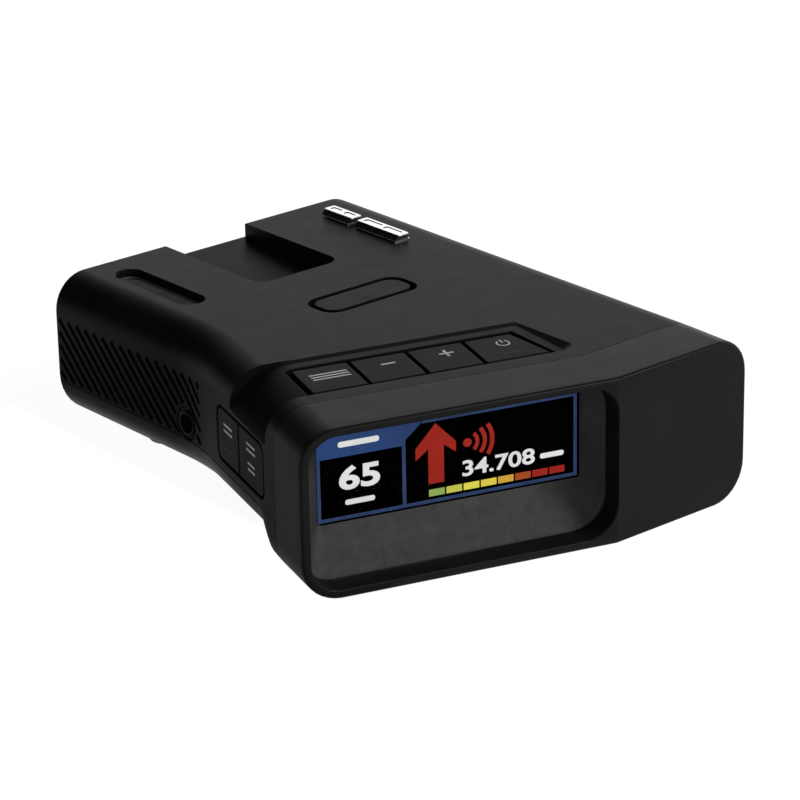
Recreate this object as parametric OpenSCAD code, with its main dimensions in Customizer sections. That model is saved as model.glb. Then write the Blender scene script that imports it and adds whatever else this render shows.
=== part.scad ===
// Radar detector: two-part housing with a front bezel turned towards the driver,
// sprung keys on the deck and the side, a slide-in mount pocket with a release key,
// and the radar, laser, sound and power parts inside. Millimetres, +Z up.
// The display end faces -Y and the radar looks out along +Y.
// The origin is the middle of the footprint, on the surface that the unit stands on.

/* [Overall] */
// Height of the deck above the standing surface
deck_h = 33; // [32:0.5:35]
// Length from the flat front panel to the rear end
body_l = 114; // [112:0.5:115]
// Width of the straight rear body
rear_w = 77; // [76:0.5:78]
// Width of the flat front panel beside the display
panel_w = 33; // [32.5:0.5:34]
// Width of the turned display face
face_w = 62.3; // [62:0.1:63]
// Angle by which the display face turns towards the driver
face_turn = 16.9; // [16:0.1:18]

/* [Housing] */
// Thickness of the housing walls
wall = 2; // [1.8:0.1:2.2]
// Radius along the top edges
top_r = 7; // [6:0.5:8]
// Radius along the bottom edges of the bezel
head_r = 7.5; // [6:0.5:8]
// Radius along the bottom edges of the rear body
bottom_r = 9.5; // [8:0.5:10]
// Height of the rear body's underside
body_z = 3.2; // [2.8:0.1:3.6]
// Height of the seam between the top and bottom covers
seam_z = 11.4; // [11.2:0.1:11.6]
// Depth of the front bezel behind the face
bezel_d = 12.5; // [12:0.1:13]
// Depth of the deeper head behind the face
head_d = 16.6; // [16:0.1:17]
// Width of the bezel's rim round the display opening
rim = 1.8; // [1.6:0.1:2]

/* [Keys] */
// Clearance round each key
key_gap = 0.2; // [0.15:0.05:0.3]
// Travel of the deck and side keys
key_travel = 0.6; // [0.4:0.1:0.8]
// Width of one deck key with its gap
key_pitch = 11.5; // [11:0.1:11.6]
// Travel of the mount release key
release_travel = 1.6; // [1.4:0.1:1.8]

/* [Mount pocket] */
// Width of the pocket that takes the mount's tongue
pocket_w = 20.3; // [19:0.1:20.5]
// Length of the pocket, open at the rear end
pocket_l = 30.5; // [29:0.1:30.5]
// Depth of the pocket at its front wall
pocket_deep = 4.6; // [4:0.1:4.8]

/* [Side grille] */
// Spacing of the grooves along the wall
groove_pitch = 2.85; // [2.6:0.05:3.2]
// Width of one groove
groove_w = 0.8; // [0.6:0.1:1]
// Depth of the grooves
groove_deep = 0.7; // [0.4:0.1:0.9]

/* [Hidden] */
$fn = 64;

// Plan of the housing
x_right = (panel_w + face_w * cos(face_turn)) / 2;
x_left = x_right - rear_w;
// The front corner stays put, and a longer housing grows to the rear
y_front = -56.5;
y_rear = y_front + body_l;
crease_x = x_right - panel_w;
corner = [-x_right, y_front + face_w * sin(face_turn)];
seam_gap = 0.1;
panel_seam_y = y_front + 12.3;

// Large radius that blends the flare into the straight left wall
blend_r = 50;
flare_w = (x_left - corner.x) / sin(face_turn);
blend_y = corner.y + flare_w * cos(face_turn) + blend_r * tan(face_turn / 2);

// Slope that carries the head's underside up to the rear body
apron_slope = 0.8;

// Display opening: a straight mouth, then a funnel down to the window
mouth_r = 5.5;
mouth_right = face_w + 0.1;
hood_front = 5;
hood_back = 9.8;
window = [7.4, 59, 10.5, 27];
lens_t = 0.5;
module_t = 1.2;
bracket_screw_u = [8, 57];
bracket_screw_z = 8.6;

// Key valley: a shallow scoop across the head, deepest at its front step
valley_front = 16.3;
valley_rear = 32.5;
valley_tilt = 2.1;
valley_ledge = 7.4;
valley_r = 12;
valley_end_x = 17.3;
keys_left = 10;
keys_rear = -3;
keys_front = -14.3;
power_right_rear = 54.6;
power_right_front = 58.0;
key_skirt = 0.7;
key_t = 3.1;
pad_t = 0.8;
key_rest = 0.3;

// Side keys, as distances behind the face and heights
side_front = 18;
side_split = 30.4;
side_rear = 41.2;
side_low = 13.4;
side_high = 24.1;
side_t = 3;

// Mount pocket, release key and latch
pocket_x = -3.4;
pocket_tilt = 3.3;
release_x = 7.3;
release_y = 8.4;
release_size = [23, 9];
release_r = 3.3;
release_gap = 0.8;
tooth_y = 31;
latch_z = 24.6;
bracket_z = 16;

// Grooved area of the left wall
grille_low = 12;
grille_high = 24.6;
grille_front = 9.5;
groove_count = 22;

// Speaker slot
slot_x = -18.6;
slot_y0 = 26.5;
slot_y1 = 51.5;
slot_w = 5.5;
speaker_pos = [-16.2, 36];

// Inlets on the walls
jack_y = 15.2;
jack_z = 14.8;
jack_bore_r = 1.8;
power_y = 14;
power_z = 16.2;
usb_y = 30;
usb_z = 13.1;

// Board and screws
board_z = 9.4;
board_t = 1.6;
screw_spots = [[-10, 51], [36, 40], [36, -20], [-25.5, -6]];
feet_spots = [[-16, 41], [26, 41]];
post_r = 3.2;

// ---- shared shapes ----

// Turned frame of the head: X along the face, Y straight back from it
module head_frame() {
  translate([corner.x, corner.y, 0]) rotate([0, 0, -face_turn]) children();
}

// Frame of the valley floor, hinged where the floor meets the deck
module valley_frame() {
  head_frame() translate([0, valley_rear, deck_h]) rotate([valley_tilt, 0, 0]) children();
}

// Extrudes an X-Z outline from y0 to y1
module along_y(y0, y1) {
  translate([0, y1, 0]) rotate([90, 0, 0]) linear_extrude(y1 - y0) children();
}

// Extrudes a Y-Z outline from x0 to x1
module along_x(x0, x1) {
  translate([x0, 0, 0]) rotate([90, 0, 90]) linear_extrude(x1 - x0) children();
}

module corner_cut(r) {
  difference() {
    translate([-1, -1]) square(r + 1);
    translate([r, r]) circle(r);
  }
}

// Rectangle from [x0, z0] to [x1, z1] with the given top-left, top-right,
// bottom-right and bottom-left radii; a radius of 0 leaves the corner square
module outline(x0, x1, z0, z1, tl = 0, tr = 0, br = 0, bl = 0) {
  difference() {
    translate([x0, z0]) square([x1 - x0, z1 - z0]);
    if (bl > 0) translate([x0, z0]) corner_cut(bl);
    if (br > 0) translate([x1, z0]) mirror([1, 0]) corner_cut(br);
    if (tl > 0) translate([x0, z1]) mirror([0, 1]) corner_cut(tl);
    if (tr > 0) translate([x1, z1]) rotate(180) corner_cut(tr);
  }
}

// Plate with the same radius at every corner, standing on z0
module slab(x0, x1, y0, y1, z0, z1, r) {
  translate([0, 0, z0]) linear_extrude(z1 - z0) outline(x0, x1, y0, y1, r, r, r, r);
}

module box(x0, x1, y0, y1, z0, z1) {
  translate([x0, y0, z0]) cube([x1 - x0, y1 - y0, z1 - z0]);
}

module tube(r_out, r_in, h) {
  difference() {
    cylinder(r = r_out, h = h);
    translate([0, 0, -1]) cylinder(r = r_in, h = h + 2);
  }
}

// Wedge under the slope behind the head, as an outline of depth and height
module apron(inset) {
  depth = head_d - 0.6 * inset;
  low = 0.8 * inset;
  polygon([[depth - 10, low - 8], [depth + 10, low - 8], [depth + 10, low + 8]]);
}

// The whole housing as one solid, shrunk by inset on every side
module housing_form(inset) {
  top = top_r - inset;
  low = bottom_r - inset;
  z0 = body_z + inset;
  z1 = deck_h - inset;
  head_end = head_d + 5;
  // keeps the blend's top and bottom faces clear of the faces that they meet
  hair = 0.02;
  along_y(y_front + 20, y_rear - inset) outline(x_left + inset, x_right - inset, z0, z1, top, top, low, low);
  head_frame() {
    along_y(inset, flare_w) outline(inset, face_w, z0, z1, top, 0, 0, low);
    difference() {
      along_y(inset, head_end) outline(inset, face_w, inset, z1, top, 0, 0, head_r - inset);
      along_x(-5, face_w + 5) apron(inset);
    }
  }
  along_y(y_front + inset, y_front + 28) outline(crease_x, x_right - inset, z0, z1, 0, top, low, 0);
  difference() {
    along_y(y_front + inset, y_front + head_end) outline(crease_x, x_right - inset, inset, z1, 0, top, head_r - inset, 0);
    translate([0, y_front, 0]) along_x(crease_x - 5, x_right + 5) apron(inset);
  }
  // two narrow faces tangent to the blend between the flare and the straight wall
  for (turn = [face_turn / 3, face_turn * 2 / 3])
    translate([x_left - blend_r, blend_y, 0]) rotate([0, 0, -turn]) along_y(-9, 9)
      outline(blend_r + inset, blend_r + 14, z0 + hair, z1 - hair, top, 0, 0, low);
}

// Everything in front of the seam between the covers and the bezel
module bezel_side(gap) {
  head_frame() box(-20, 140, -60, bezel_d + gap, -5, deck_h + 5);
  box(-80, 80, -120, panel_seam_y + gap, -5, deck_h + 5);
}

// ---- housing ----

module valley_cut() {
  valley_c = sqrt(pow(valley_r, 2) - pow(valley_r - valley_ledge, 2));
  intersection() {
    valley_frame() along_y(valley_front - valley_rear, 0) difference() {
      translate([-5, -valley_ledge]) square([85, valley_ledge + 5]);
      translate([valley_c, -valley_r]) circle(valley_r);
      translate([valley_c, -30]) square([100, 30]);
    }
    box(-80, valley_end_x, -60, 20, 0, deck_h + 10);
  }
}

module key_well() {
  // deep enough to pass through the top wall everywhere
  deep = 8;
  valley_frame() translate([0, 0, -deep]) linear_extrude(deep + 4) polygon([
    [keys_left - key_gap, keys_front - key_gap],
    [power_right_front + key_gap, keys_front - key_gap],
    [power_right_rear + key_gap, keys_rear + key_gap],
    [keys_left - key_gap, keys_rear + key_gap]
  ]);
}

module pocket_shape(extra) {
  translate([0, y_rear - pocket_l, deck_h - pocket_deep]) rotate([pocket_tilt, 0, 0])
    translate([0, 0, -extra]) linear_extrude(12)
      outline(pocket_x - extra, pocket_x + pocket_w + extra, -extra, pocket_l + 4, 0, 0, 3 + extra, 3 + extra);
}

// Grooves at 45 degrees, on the left wall only
module side_grooves() {
  span = grille_high - grille_low;
  width_y = groove_w * sqrt(2);
  intersection() {
    for (i = [0 : groove_count - 1])
      along_x(x_left - 3, x_left + 3)
        polygon([for (p = [[0, grille_low], [span, grille_high], [span - width_y, grille_high], [-width_y, grille_low]])
          [p[0] + grille_front + 1.8 - span + i * groove_pitch, p[1]]]);
    difference() {
      box(x_left - 4, x_left + 4, grille_front, y_rear - 0.8, grille_low - 1, grille_high + 1);
      housing_form(groove_deep);
    }
  }
}

module top_cover() {
  color("#1b1c1e") difference() {
    housing_form(0);
    // hollow, except for the walls round the mount pocket and the screw posts
    difference() {
      housing_form(wall);
      pocket_shape(wall);
      for (p = screw_spots)
        translate([p.x, p.y, board_z + board_t + 0.1]) cylinder(r = post_r, h = deck_h - board_z);
    }
    bezel_side(seam_gap);
    box(-80, 80, -80, 80, -5, seam_z);
    valley_cut();
    key_well();
    pocket_shape(0);
    side_grooves();
    // speaker slot
    slab(slot_x - slot_w / 2, slot_x + slot_w / 2, slot_y0, slot_y1, deck_h - 4, deck_h + 2, slot_w / 2 - 0.05);
    // release key and latch tooth
    slab(release_x - release_size.x / 2, release_x + release_size.x / 2,
         release_y - release_size.y / 2, release_y + release_size.y / 2, deck_h - 4, deck_h + 2, release_r);
    box(release_x - 4, release_x + 4, tooth_y - 1.8, tooth_y + 1.8, deck_h - 9, deck_h - 3);
    // side keys
    head_frame() translate([-2, 0, 0]) along_x(0, 6)
      outline(side_front - key_gap, side_rear + key_gap, side_low - key_gap, side_high + key_gap, 2, 2, 2, 2);
    // headphone, power and data inlets
    translate([x_left - 2, jack_y, jack_z]) rotate([0, 90, 0]) cylinder(r = 3.3, h = 6);
    box(x_right - 4, x_right + 2, power_y - 5.7, power_y + 5.7, power_z - 5.4, power_z + 4.4);
    along_x(x_right - 4, x_right + 2)
      outline(usb_y - 4.8, usb_y + 4.8, usb_z - 1.7, usb_z + 2, 1.4, 1.4, 1.4, 1.4);
    // laser window
    box(21.9, 42.1, y_rear - 4, y_rear + 1, 12.9, 24.1);
    // screw pilot holes
    for (p = screw_spots) translate([p.x, p.y, 5]) cylinder(r = 1.3, h = 20);
  }
}

module bottom_cover() {
  color("#191a1c") difference() {
    housing_form(0);
    // hollow, except for the posts that carry the board
    difference() {
      housing_form(wall);
      for (p = screw_spots) translate([p.x, p.y, 0]) cylinder(r = post_r + 0.8, h = board_z - 0.1);
    }
    bezel_side(seam_gap);
    box(-80, 80, -80, 80, seam_z - seam_gap, deck_h + 5);
    // countersunk screw holes, then the holes for the feet
    for (p = screw_spots) {
      translate([p.x, p.y, -1]) cylinder(r = 1.6, h = 20);
      translate([p.x, p.y, -1]) cylinder(r = 2.9, h = body_z + 4);
    }
    for (p = feet_spots) translate([p.x, p.y, -1]) cylinder(r = 2, h = 10);
    // room under the power inlet, which crosses the seam
    box(x_right - 4, x_right + 2, power_y - 5.7, power_y + 5.7, power_z - 5.2, power_z);
  }
}

// Space inside the mouth, shrunk by inset
module mouth(inset, w0, w1) {
  r = mouth_r - inset;
  head_frame() along_y(w0, w1) outline(rim + inset, mouth_right - inset, rim + inset, deck_h - rim - inset, r, r, r + 1, r);
}

module front_bezel() {
  color("#17181a") difference() {
    intersection() {
      housing_form(0);
      bezel_side(0);
    }
    mouth(0, -10, hood_back + 1);
    // pocket for the lens and everything behind it
    head_frame() along_y(hood_back, 30)
      outline(rim, face_w - 0.7, rim, deck_h - rim, mouth_r, mouth_r, mouth_r, mouth_r);
    // chamber behind the flat panel
    along_y(y_front + wall, y_front + 30)
      outline(crease_x + 5, x_right - wall, wall, deck_h - wall, 1, top_r - wall, head_r - wall, 1);
  }
}

// ---- display ----

module display_hood() {
  color("#3a3b3d") difference() {
    mouth(0.2, hood_front, hood_back);
    hull() head_frame() {
      along_y(hood_front - 0.2, hood_front) outline(rim + 0.7, mouth_right - 0.7, rim + 0.5, deck_h - rim - 0.7, 5, 5, 7, 5, $fn = 48);
      along_y(hood_back, hood_back + 0.2) outline(window[0], window[1], window[2], window[3], 1, 1, 1, 1, $fn = 48);
    }
  }
}

module display_lens() {
  color("#101114") head_frame() along_y(hood_back + 0.1, hood_back + 0.1 + lens_t)
    outline(window[0] - 1.4, window[1] + 1.4, window[2] - 1.4, window[3] + 1.4, 1, 1, 1, 1);
}

module display_module() {
  glass = hood_back + lens_t + 0.3;
  color("#20242c") head_frame() {
    box(window[0] - 1, window[1] + 1, glass, glass + module_t, window[2] - 1, window[3] + 1);
    box(window[0] + 2, window[1] - 2, glass + module_t, glass + 2, window[2] - 1, window[3] + 1);
  }
}

module display_bracket() {
  front = hood_back + 3.7;
  color("#2b2c2e") head_frame() difference() {
    union() {
      box(5, 60, front, front + 1.6, 6, 29);
      for (u = bracket_screw_u) translate([u, front + 1.5, bracket_screw_z]) rotate([-90, 0, 0]) cylinder(r = 2.4, h = 2);
    }
    box(14, 52, front - 1, front + 3, 12, 25);
    for (u = bracket_screw_u) translate([u, front - 1, bracket_screw_z]) rotate([-90, 0, 0]) cylinder(r = 1, h = 6);
  }
}

// Flat cable from the display down to the main board
module display_ribbon() {
  start = hood_back + 3.6;
  high = 14.6;
  low = board_z + board_t + 0.2;
  t = 0.3;
  // distances behind the face at which it bends down, lands and ends
  bend = 20.7;
  land = 24.7;
  tail = 28;
  lean = 0.2;
  color("#b5752b") head_frame() along_x(26, 38) polygon([
    [start, high], [bend, high], [land, low], [tail, low],
    [tail, low + t], [land + lean, low + t], [bend + lean, high + t], [start, high + t]
  ]);
}

// ---- deck keys ----

// Cap of one deck key, with lips that catch under the deck; the last one has a slanting right edge
module key_cap(i) {
  last = i == 3;
  left = keys_left + i * key_pitch;
  right_rear = last ? power_right_rear : left + key_pitch;
  right_front = last ? power_right_front : left + key_pitch;
  color("#1e1f21") valley_frame() {
    translate([0, 0, -key_t]) linear_extrude(key_t + 0.1) polygon([
      [left + key_gap, keys_front + key_gap], [right_front - key_gap, keys_front + key_gap],
      [right_rear - key_gap, keys_rear - key_gap], [left + key_gap, keys_rear - key_gap]
    ]);
    translate([left + 1.5, keys_front - key_skirt, -key_t])
      cube([key_pitch - 3, keys_rear - keys_front + 2 * key_skirt, 1]);
  }
}

module menu_button() key_cap(0);
module volume_down_button() key_cap(1);
module volume_up_button() key_cap(2);
module power_button() key_cap(3);

pad_top = -key_t - key_travel - key_rest;

module deck_key_pad() {
  color("#4a4c50") valley_frame()
    box(keys_left - 2, power_right_front, keys_front - 1, keys_rear + 1, pad_top - pad_t, pad_top);
}

module deck_key_board() {
  color("#1f5c3a") valley_frame()
    box(keys_left - 3, power_right_front + 1, keys_front - 1.6, keys_rear + 2, pad_top - pad_t - 1.4, pad_top - pad_t - 0.1);
}

// ---- side keys ----

module side_key(w0, w1, front_r, rear_r) {
  color("#1e1f21") head_frame() {
    along_x(0.05, side_t)
      outline(w0 + key_gap, w1 - key_gap, side_low + key_gap, side_high - key_gap, front_r, rear_r, rear_r, front_r);
    along_x(wall + 0.3, side_t)
      outline(w0 + 2, w1 - 2, side_low - key_skirt, side_high + key_skirt);
  }
}

module mute_button() side_key(side_front, side_split, 1.8, 0.3);
module mark_button() side_key(side_split, side_rear, 0.3, 1.8);

module side_key_board() {
  switch_top = side_t + key_travel + 0.2;
  color("#1f5c3a") head_frame() {
    box(5.2, 6.4, side_front, side_rear, 12, 25);
    for (w = [(side_front + side_split) / 2, (side_split + side_rear) / 2])
      box(switch_top, 5.2, w - 3, w + 3, 15.8, 21.8);
  }
}

// ---- mount release ----

module release_button() {
  cap = release_size / 2 - [release_gap, release_gap];
  // wider than the hole, so that the key can't come out
  flange = release_size / 2 + [0.5, 0.5];
  color("#1e1f21") {
    slab(release_x - cap.x, release_x + cap.x, release_y - cap.y, release_y + cap.y,
         deck_h - 2.7, deck_h - 0.05, release_r - 0.5);
    slab(release_x - flange.x, release_x + flange.x, release_y - flange.y, release_y + flange.y,
         deck_h - 3.5, deck_h - 2.5, release_r + 0.5);
  }
}

module release_latch() {
  plate_t = 1.4;
  pocket_floor = deck_h - pocket_deep + (tooth_y - y_rear + pocket_l) * tan(pocket_tilt);
  color("#303236") {
    translate([release_x, release_y, latch_z + plate_t]) cylinder(r = 3, h = deck_h - 3.6 - latch_z - plate_t);
    box(release_x - 6, release_x + 6, release_y - 5, tooth_y + 1.5, latch_z, latch_z + plate_t);
    // tooth that stands up through the pocket's floor, and drops clear of it when pressed
    box(release_x - 3.4, release_x + 3.4, tooth_y - 1.4, tooth_y + 1.4, latch_z + plate_t, pocket_floor + release_travel - 0.3);
  }
}

module release_spring() {
  low = bracket_z + 1.6;
  color("#b9bcc0") translate([release_x, release_y, low]) tube(2.6, 1.8, latch_z - 0.1 - low);
}

module latch_bracket() {
  color("#26282b") {
    box(-8, 22.6, 2, 14, bracket_z, bracket_z + 1.5);
    for (x = [-8, 20.6]) box(x, x + 2, 2, 14, bracket_z + 1.5, deck_h - wall - 0.1);
  }
}

// ---- sound ----

module speaker() {
  color("#2a2a2c") translate([speaker_pos.x, speaker_pos.y, 22]) {
    cylinder(r = 5, h = 2);
    translate([0, 0, 2]) cylinder(r = 10.4, h = 4.4);
  }
}

module speaker_gasket() {
  color("#0f0f10") translate([speaker_pos.x, speaker_pos.y, 28.5]) tube(9.8, 8.4, 1.4);
}

module speaker_grille() {
  color("#111214") difference() {
    slab(slot_x - slot_w / 2 + 0.15, slot_x + slot_w / 2 - 0.15, slot_y0 + 0.15, slot_y1 - 0.15,
         deck_h - 3, deck_h - 1.4, slot_w / 2 - 0.2);
    for (i = [0 : 11])
      box(slot_x - 1.9, slot_x + 1.9, slot_y0 + 2.2 + i * 1.8, slot_y0 + 3.3 + i * 1.8, deck_h - 4, deck_h);
  }
}

// ---- inlets ----

module audio_jack() {
  color("#0c0c0d") difference() {
    union() {
      box(x_left + wall + 0.2, x_left + 15, jack_y - 3.7, jack_y + 3.7, board_z + board_t + 0.1, jack_z + 3.4);
      translate([x_left + 0.2, jack_y, jack_z]) rotate([0, 90, 0]) cylinder(r = 3.1, h = 4);
    }
    translate([x_left - 1, jack_y, jack_z]) rotate([0, 90, 0]) cylinder(r = jack_bore_r, h = 13.2);
  }
}

module power_jack() {
  color("#0c0c0d") difference() {
    box(x_right - 15, x_right - 0.4, power_y - 5.5, power_y + 5.5, board_z + board_t + 0.1, power_z + 4.2);
    box(x_right - 13, x_right + 1, power_y - 4.6, power_y + 4.6, power_z - 2.9, power_z + 3.1);
    box(x_right - 13, x_right + 1, power_y - 1.6, power_y + 1.6, power_z - 4.1, power_z);
  }
}

module usb_port() {
  color("#b4b7bb") difference() {
    along_x(x_right - 8.5, x_right - 0.6)
      outline(usb_y - 4.5, usb_y + 4.5, usb_z - 1.5, usb_z + 1.8, 1.2, 1.2, 1.2, 1.2);
    along_x(x_right - 7.5, x_right + 1)
      outline(usb_y - 4.2, usb_y + 4.2, usb_z - 1.2, usb_z + 1.5, 1, 1, 1, 1);
  }
}

// ---- electronics ----

module main_board() {
  color("#1d5a38") difference() {
    box(x_left + 3, x_right - 3, -25, y_rear - 4, board_z, board_z + board_t);
    for (p = screw_spots) translate([p.x, p.y, 0]) cylinder(r = 1.8, h = 20);
  }
}

module rf_shield() {
  color("#c3c6ca") box(10, 31, -20, 0.8, board_z + board_t + 0.1, board_z + board_t + 4.6);
}

// Horn of cast metal: a block with a tapering mouth at its +Y end
module horn(w, l, h) {
  difference() {
    translate([-w / 2, 0, 0]) cube([w, l, h]);
    hull() {
      translate([-w / 2 + 1.2, l - 0.01, 1.2]) cube([w - 2.4, 1, h - 2.4]);
      translate([-4, l * 0.35, h / 2 - 2]) cube([8, 1, 4]);
    }
  }
}

module front_horn() {
  color("#a9acb0") translate([release_x, 27, board_z + board_t + 0.1]) horn(22, 27, 10.8);
}

module rear_horn() {
  color("#a9acb0") translate([31.3, -26.5, 11.8]) rotate([0, 0, 180]) horn(24, 27, 15);
}

module laser_lens() {
  color("#3a0f12") box(22, 42, y_rear - 1.9, y_rear - 0.4, 13, 24);
}

module laser_sensor() {
  color("#16181b") box(23.5, 40.5, y_rear - 10, y_rear - 2.4, 11.2, 23);
}

module gps_antenna() {
  color("#cdb38a") slab(-21, -3, -12, 6, board_z + board_t + 0.1, board_z + board_t + 4.1, 1);
}

// ---- trim and fixings ----

module trim_badge() {
  color("#d6d8db") {
    slab(31.1, 35.1, 41.6, 50.7, deck_h, deck_h + 1.4, 0.5);
    slab(31.1, 35.1, 26.8, 40.2, deck_h, deck_h + 1.4, 0.5);
  }
}

module rating_label() {
  color("#8a8c90") slab(-14, 26, -12, 26, body_z - 0.15, body_z, 1.5);
}

module rear_feet() {
  color("#0d0d0e") for (p = feet_spots) translate([p.x, p.y, 0]) {
    cylinder(r = 4.5, h = body_z);
    cylinder(r = 1.8, h = body_z + 1.8);
  }
}

module cover_screws() {
  color("#55585c") for (p = screw_spots) translate([p.x, p.y, body_z + 0.9]) difference() {
    union() {
      cylinder(r = 2.5, h = 1.9);
      translate([0, 0, 1.9]) cylinder(r = 1.25, h = 15);
    }
    translate([0, 0, -0.1]) cylinder(r = 1, h = 1.1, $fn = 6);
  }
}

module bracket_screws() {
  head = hood_back + 3.7 + 3.6;
  color("#8d9094") head_frame() for (u = bracket_screw_u) translate([u, head + 1.6, bracket_screw_z]) rotate([90, 0, 0]) {
    cylinder(r = 1.8, h = 1.6);
    cylinder(r = 0.9, h = 6.2);
  }
}

top_cover();
bottom_cover();
front_bezel();
display_hood();
display_lens();
display_module();
display_bracket();
display_ribbon();
menu_button();
volume_down_button();
volume_up_button();
power_button();
deck_key_pad();
deck_key_board();
mark_button();
mute_button();
side_key_board();
release_button();
release_latch();
release_spring();
latch_bracket();
speaker();
speaker_gasket();
speaker_grille();
audio_jack();
power_jack();
usb_port();
main_board();
rf_shield();
front_horn();
rear_horn();
laser_lens();
laser_sensor();
gps_antenna();
trim_badge();
rating_label();
rear_feet();
cover_screws();
bracket_screws();
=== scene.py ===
"""Radar detector: the looks of the part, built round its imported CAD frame.

Lengths below are millimetres in the row frame, repeated from the CAD source, and become metres
when a piece is finished. "u" runs along the turned display face, "w" straight back from it.
"""

import math

import bmesh
import bpy
from mathutils import Matrix, Vector


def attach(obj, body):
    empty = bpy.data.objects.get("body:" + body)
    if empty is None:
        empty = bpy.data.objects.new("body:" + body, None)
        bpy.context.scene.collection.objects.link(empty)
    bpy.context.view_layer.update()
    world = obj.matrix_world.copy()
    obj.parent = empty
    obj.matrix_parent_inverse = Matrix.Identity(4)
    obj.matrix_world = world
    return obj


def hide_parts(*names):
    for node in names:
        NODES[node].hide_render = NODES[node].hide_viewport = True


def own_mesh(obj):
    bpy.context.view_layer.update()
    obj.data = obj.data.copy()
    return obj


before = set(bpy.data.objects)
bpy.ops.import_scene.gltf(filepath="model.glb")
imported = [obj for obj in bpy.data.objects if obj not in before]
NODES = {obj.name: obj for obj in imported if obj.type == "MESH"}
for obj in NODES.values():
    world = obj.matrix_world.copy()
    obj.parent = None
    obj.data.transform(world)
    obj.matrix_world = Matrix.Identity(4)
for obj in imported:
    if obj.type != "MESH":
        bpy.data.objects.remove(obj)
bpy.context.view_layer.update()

MM = 0.001

# strength of the sky's bright band, and of its extra patch above the front
SKY, FRONT_BOX = 1.45, 0.18

# ---- sizes repeated from the CAD source ----
PANEL_W, FACE_W, TURN = 33.0, 62.3, math.radians(16.9)
COS, SIN = math.cos(TURN), math.sin(TURN)
X_RIGHT = (PANEL_W + FACE_W * COS) / 2
X_LEFT = X_RIGHT - 77.0
Y_FRONT, Y_REAR = -56.5, 57.5
CORNER = Vector((-X_RIGHT, Y_FRONT + FACE_W * SIN, 0.0))
CREASE_X = X_RIGHT - PANEL_W
DECK = 33.0
WALL = 2.0
TOP_R, HEAD_R, BODY_R = 7.0, 7.5, 9.5
BODY_Z = 3.2
SEAM_LOW, SEAM_HIGH = 11.3, 11.4
BEZEL_D, PANEL_SEAM_Y = 12.5, Y_FRONT + 12.3
BLEND_R = 50.0
BLEND_Y = CORNER.y + (X_LEFT - CORNER.x) / SIN * COS + BLEND_R * math.tan(TURN / 2)
MOUTH = (1.8, 62.4, 1.8, 31.2)
MOUTH_R = 5.5
POCKET = (-3.4, 16.9, 30.5, 4.6, math.radians(3.3))
RELEASE = (7.3, 8.4)
RELEASE_HOLE, RELEASE_CAP, RELEASE_R = (11.6, 4.6), (10.55, 3.5), 3.3
SLOT = (-18.6, 26.5, 51.5, 5.5)
JACK = (15.2, 14.8)
POWER = (14.0, 16.2)
USB = (30.0, 13.1)
SCREWS = ((-10, 51), (36, 40), (36, -20), (-25.5, -6))
FEET = ((-16, 41), (26, 41))

# ---- local frames: columns are the local X, Y and height directions ----


def axes(origin, x, y, z):
    m = Matrix.Identity(4)
    for i, column in enumerate((x, y, z, origin)):
        for k in range(3):
            m[k][i] = column[k]
    return m


EU = Vector((COS, -SIN, 0.0))
EW = Vector((SIN, COS, 0.0))
EZ = Vector((0.0, 0.0, 1.0))
EX, EY = Vector((1.0, 0.0, 0.0)), Vector((0.0, 1.0, 0.0))
WORLD = Matrix.Identity(4)
HEAD = axes(CORNER, EU, EW, EZ)
FACE = axes(CORNER, EU, EZ, -EW)
FLARE = axes(CORNER, EW, EZ, EU)
SIDE = axes(Vector((0, 0, 0)), EY, EZ, EX)
REAR = axes(Vector((0, 0, 0)), -EX, EZ, EY)
FLOOR_DROP = 0.3
VALLEY = HEAD @ Matrix.Translation((0, 32.5, DECK - FLOOR_DROP)) @ Matrix.Rotation(math.radians(2.1), 4, "X")
POCKET_FRAME = Matrix.Translation((0, Y_REAR - POCKET[2], DECK - POCKET[3])) @ Matrix.Rotation(POCKET[4], 4, "X")

# ---- outlines ----


def rounded(corners, radii, steps=6):
    """Closed outline through the corners, each turned into an arc of its own radius."""
    if not hasattr(radii, "__len__"):
        radii = [radii] * len(corners)
    points = []
    for i, radius in enumerate(radii):
        p = Vector(corners[i])
        a = (Vector(corners[i - 1]) - p).normalized()
        b = (Vector(corners[(i + 1) % len(corners)]) - p).normalized()
        half = a.angle(b) / 2
        r = max(radius, 0.02)
        centre = p + (a + b).normalized() * (r / math.sin(half))
        v0 = p + a * (r / math.tan(half)) - centre
        v1 = p + b * (r / math.tan(half)) - centre
        sweep = v0.angle(v1)
        for k in range(steps + 1):
            t = k / steps
            points.append(centre + (v0 * math.sin((1 - t) * sweep) + v1 * math.sin(t * sweep)) / math.sin(sweep))
    return points


def shrink(corners, by):
    """Moves every edge of a convex outline, given anticlockwise, inwards."""
    out = []
    n = len(corners)
    for i in range(n):
        p, q, s = Vector(corners[i - 1]), Vector(corners[i]), Vector(corners[(i + 1) % n])
        d0, d1 = (q - p).normalized(), (s - q).normalized()
        n0, n1 = Vector((-d0.y, d0.x)), Vector((-d1.y, d1.x))
        out.append(q + (n0 + n1) * (by / (1 + n0.dot(n1))))
    return out


def rect(x0, x1, y0, y1):
    return [(x0, y0), (x1, y0), (x1, y1), (x0, y1)]


def around(centre, half):
    return rect(centre[0] - half[0], centre[0] + half[0], centre[1] - half[1], centre[1] + half[1])


# ---- meshes ----


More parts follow.
